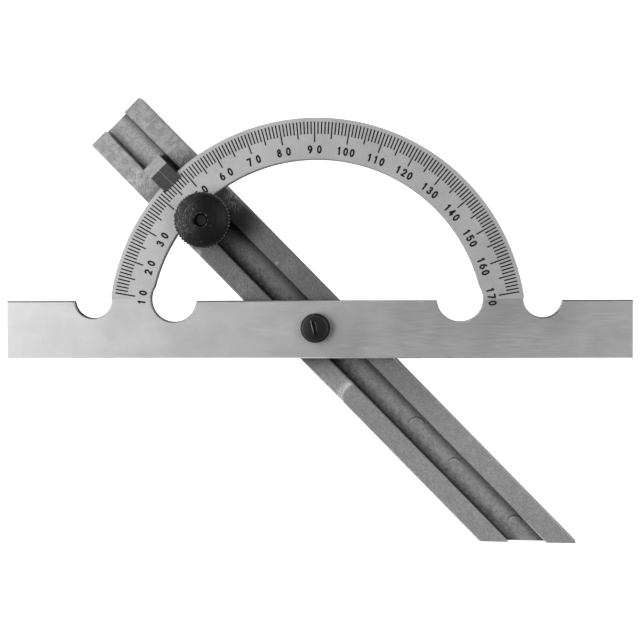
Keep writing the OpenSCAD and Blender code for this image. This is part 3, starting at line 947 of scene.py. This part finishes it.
# Painted highlights: a ring on the dome, a line along one edge of the slot and a stripe inside it.
ring = times(tree, line_at(tree, radius, ring_place, 0.22, 0.08),
             ramp_mm(tree, height, head_top - 0.5, head_top - 0.3))
slot_edge = times(tree, line_at(tree, side, -slot_half - slot_edge_off, 0.12, 0.03),
                  ramp_mm(tree, height, head_top - 0.25, head_top - 0.15),
                  ramp_mm(tree, radius, 1.9, 1.5), ramp_mm(tree, lengthwise, -1.5, 0.2))
stripe = times(tree, line_at(tree, side, stripe_place, 0.1, 0.03),
               ramp_mm(tree, height, head_top - 0.2, head_top - 0.35),
               ramp_mm(tree, lengthwise, -1.2, 0.4))
highlights_and_wear = number(tree, "MAXIMUM", times(tree, ring, 0.05), times(tree, slot_edge, 0.8))
highlights_and_wear = number(tree, "MAXIMUM", highlights_and_wear, times(tree, stripe, 0.95))
bared(tree, shader, colour, highlights_and_wear, 0.26)
sooty_rim = add(tree, "ShaderNodeMapRange", {"Value": radius, "From Min": sooty_from * MM,
                "From Max": sooty_full * MM, "To Min": 0.38, "To Max": 0.95})
tree.links.new(sooty_rim.outputs[0], shader.inputs["Roughness"])
verts, faces = screw_mesh()
pivot_pin = piece("slotted_pivot", verts, faces, screw_oxide, "carriage", "pivot_screw", 35)
finish_node("clamp_stud", oxide)
finish_node("clamp_washer", oxide, 0.05 * MM)
spring_steel, *_ = steel("spring_steel", (0.12, 0.12, 0.12), (0.22, 0.22, 0.22), 0.4, direction=0.0,
                         length=1 * MM, pitch=0.1 * MM, cloud=1 * MM, line_bump=0.2)
finish_node("pivot_spring_washer", spring_steel)

# Clamp nut. Turned from steel bar: fifty straight knurls, both rims broken, a crowned top with fine turning
# rings and a countersunk hole, all blackened. The knurls' tips are worn bright; the hole's edge is partly
# worn bright and partly a painted highlight, and the top's left side carries a painted sheen.
nut_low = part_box("knurled_nut")[0] / MM
nut_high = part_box("knurled_nut")[1] / MM
nut_x = (nut_low.x + nut_high.x) / 2
nut_y = (nut_low.y + nut_high.y) / 2
nut_r = 5.35
nut_edge = 0.5
crown_h = 0.9
crown_rows = 64
knurls = 50
knurl_deep = 0.3
knurl_tip = 0.08
knurl_steps = 6
hole_r = 1.28
sink = 0.2
ring_r = 2.45
ring_w = 0.2
ring_deep = 0.02
turning_pitch = 0.42
turning_deep = 0.012
painted_sheen_side = (0.8, -4.2)
# Specks have a place from the nut's axis, a radius and a brightness.
nut_specks = [(-1.45, 2.1, 0.22, 0.6), (2.0, -1.1, 0.25, 0.16), (0.05, -4.1, 0.25, 0.14)]


def knurled_radius(r, step):
    """Radius of a row where the knurl cuts it, at a step round the nut."""
    half = knurl_steps / 2
    share = abs(step % knurl_steps - half) / half
    return min(r, nut_r - knurl_deep + (knurl_deep + knurl_tip) * share)


def nut_mesh():
    """Rows from the hole's lower end, round the outside and down the hole again."""
    edge_r = nut_r - nut_edge
    band_top = nut_high.z - crown_h
    crown_r = (edge_r * edge_r + crown_h * crown_h) / (2 * crown_h)
    rows = [(hole_r, nut_low.z)]
    rows += [(edge_r + nut_edge * i / 6, nut_low.z + nut_edge * i / 6) for i in range(7)]
    rows += [(nut_r - nut_edge * i / 8, band_top - nut_edge * (1 - i / 8)) for i in range(9)]
    for i in range(1, crown_rows + 1):
        r = edge_r + (hole_r + sink - edge_r) * i / crown_rows
        z = nut_high.z - crown_r + math.sqrt(crown_r * crown_r - r * r)
        turned_off = turning_deep * (0.5 - 0.5 * math.cos(2 * math.pi * r / turning_pitch))
        if ring_r < r < ring_r + ring_w:
            turned_off += ring_deep
        rows.append((r, z - turned_off))
    rows.append((hole_r, rows[-1][1] - sink))
    columns = knurls * knurl_steps
    verts = []
    for r, z in rows:
        for step in range(columns):
            a = arm_angle + 2 * math.pi * step / columns
            cut = knurled_radius(r, step + knurl_steps // 2)
            verts.append((nut_x + cut * math.cos(a), nut_y + cut * math.sin(a), z))
    faces = []
    for row in range(len(rows)):
        upper = (row + 1) % len(rows)
        for step in range(columns):
            side = (step + 1) % columns
            faces.append((row * columns + step, row * columns + side, upper * columns + side,
                          upper * columns + step))
    return verts, faces


nut_oxide, tree, shader, colour = black_oxide("nut_oxide", 0.4, 0.16)
place = add(tree, "ShaderNodeTexCoord")
height = add(tree, "ShaderNodeSeparateXYZ", {0: place.outputs["Object"]}).outputs["Z"]
flat, radius = round_axis(tree, nut_x, nut_y)
offset = add(tree, "ShaderNodeSeparateXYZ", {0: flat})
wear = effect(tree, clouding, Cloud_Size=0.9 * MM, Cloud_Detail=3.0)
mottled = effect(tree, clouding, Cloud_Size=0.35 * MM, Cloud_Detail=3.0)
rings = add(tree, "ShaderNodeTexNoise", {"W": number(tree, "DIVIDE", radius, 0.22 * MM), "Scale": 1.0},
            noise_dimensions="1D")
tips = times(tree, ramp_mm(tree, radius, nut_r - 0.2, nut_r - 0.04),
             ramp_mm(tree, height, nut_high.z - 1.9, nut_high.z - 1.5))
# The hole's edge is partly worn bright and partly a painted highlight.
lip = times(tree, ramp_mm(tree, radius, hole_r + 0.22, hole_r + 0.12),
            ramp_mm(tree, height, nut_high.z - 0.5, nut_high.z - 0.3),
            ramp(tree, wear.outputs[0], 0.45, 0.65))
# Painted sheen on the left side of the top.
painted_sheen = times(tree, ramp_mm(tree, offset.outputs["X"], *painted_sheen_side),
                ramp(tree, wear.outputs[0], 0.3, 0.7), ramp(tree, rings.outputs["Fac"], 0.35, 0.65),
                ramp(tree, mottled.outputs[0], 0.35, 0.65))
highlights_and_wear = number(tree, "MAXIMUM", tips, times(tree, lip, 0.6))
highlights_and_wear = number(tree, "MAXIMUM", highlights_and_wear, times(tree, painted_sheen, 0.85))
for x, y, r, shine in nut_specks:
    gap = add(tree, "ShaderNodeVectorMath", {0: flat, 1: (x * MM, y * MM, 0)}, operation="DISTANCE")
    speck = times(tree, ramp_mm(tree, gap.outputs["Value"], r, 0.3 * r), shine)
    highlights_and_wear = number(tree, "MAXIMUM", highlights_and_wear, speck)
bared(tree, shader, colour, highlights_and_wear, 0.2)
verts, faces = nut_mesh()
clamp_nut = piece("clamp_nut", verts, faces, nut_oxide, "nut", "knurled_nut", 24)
